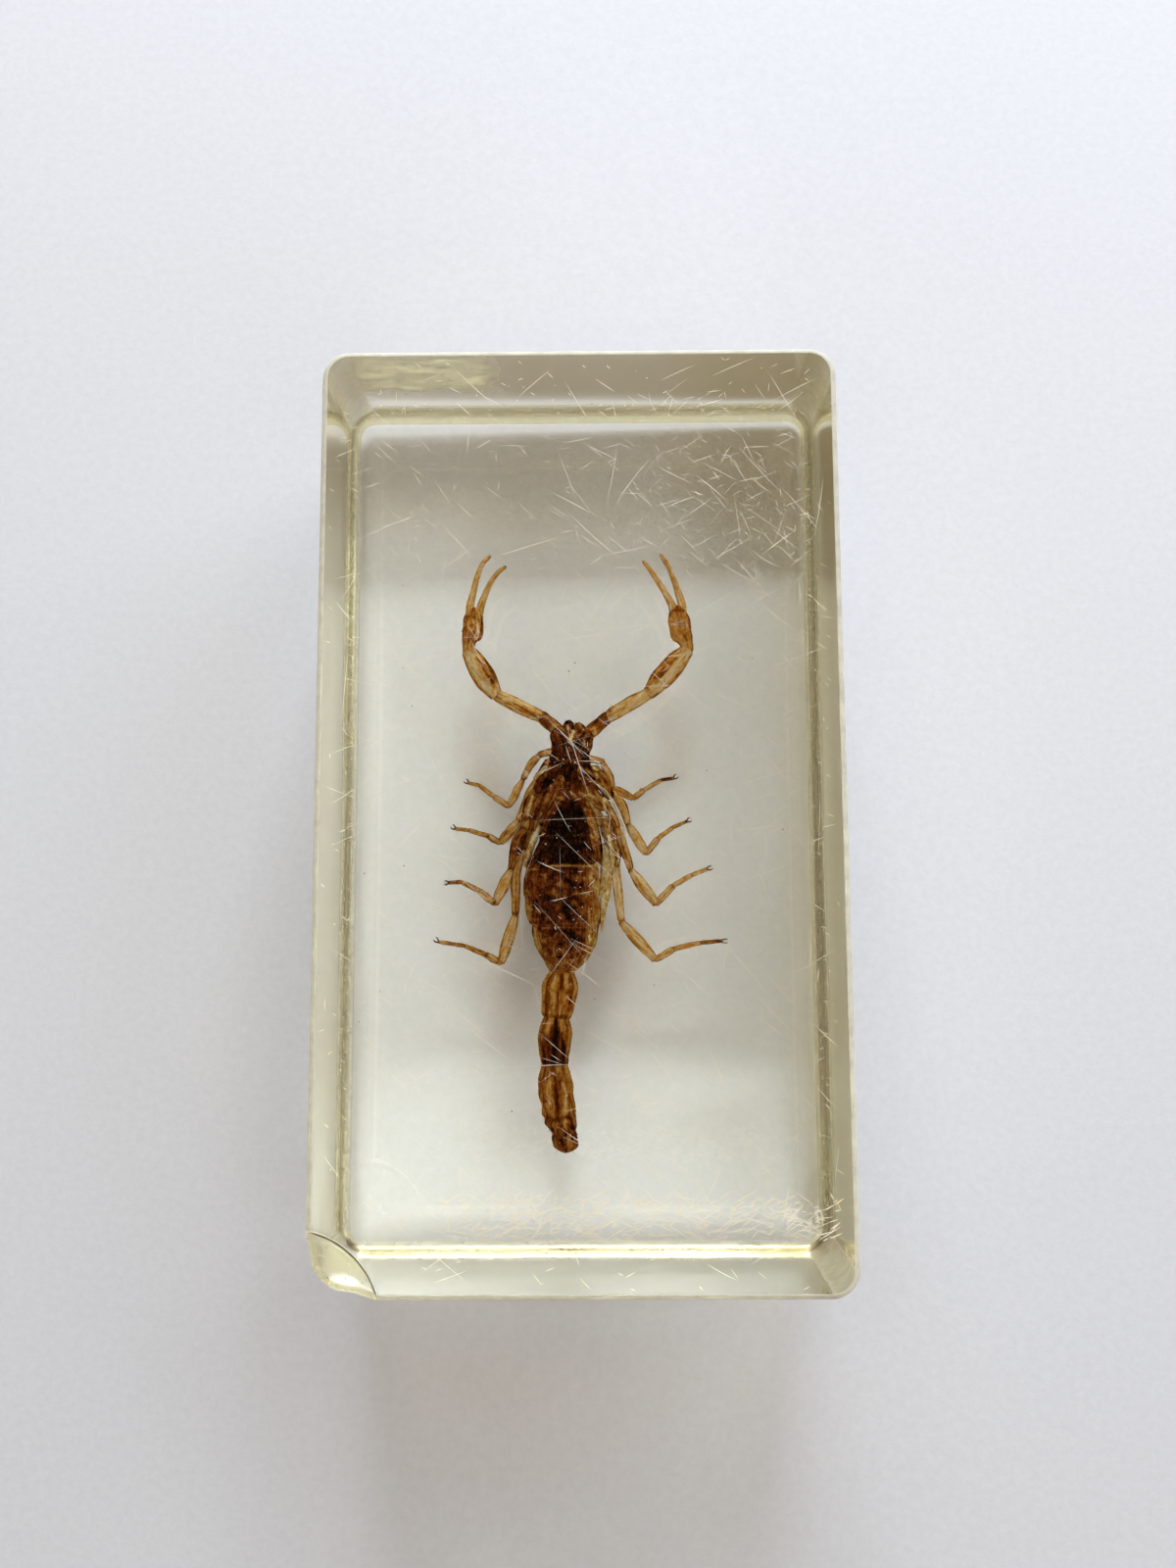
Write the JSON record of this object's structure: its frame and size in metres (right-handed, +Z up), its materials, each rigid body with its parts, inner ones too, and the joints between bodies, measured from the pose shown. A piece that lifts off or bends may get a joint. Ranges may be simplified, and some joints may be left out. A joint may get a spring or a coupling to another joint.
{
  "type": "scorpion in resin block",
  "caption": "Rectangular block of clear cast resin with a small brown scorpion sealed inside, belly up, its tail curled under and one upper corner of the block chipped.",
  "frame": {"origin": "middle of the block's underside", "axes": "+X across the block, +Y along it towards the scorpion's claws, +Z up out of the face that the scorpion's belly looks through"},
  "size_m": [0.041, 0.073, 0.02],
  "materials": {
    "clear_resin": "clear cast polyester resin, faintly yellow with age, polished, with fine scratches",
    "brown_cuticle": "dried dark brown cuticle, half see-through, nearly black at its core",
    "amber_cuticle": "dried amber cuticle with darker keels, half see-through",
    "golden_cuticle": "dried golden brown cuticle, half see-through, with darker edges"
  },
  "bodies": {
    "root": {"resin_lower": "clear_resin", "resin_upper": "clear_resin", "scorpion_trunk": "brown_cuticle", "scorpion_tail": "amber_cuticle", "pedipalp_left": "golden_cuticle", "pedipalp_right": "golden_cuticle", "leg_left_1": "golden_cuticle", "leg_left_2": "golden_cuticle", "leg_left_3": "golden_cuticle", "leg_left_4": "golden_cuticle", "leg_right_1": "golden_cuticle", "leg_right_2": "golden_cuticle", "leg_right_3": "golden_cuticle", "leg_right_4": "golden_cuticle"}
  },
  "joints": []
}
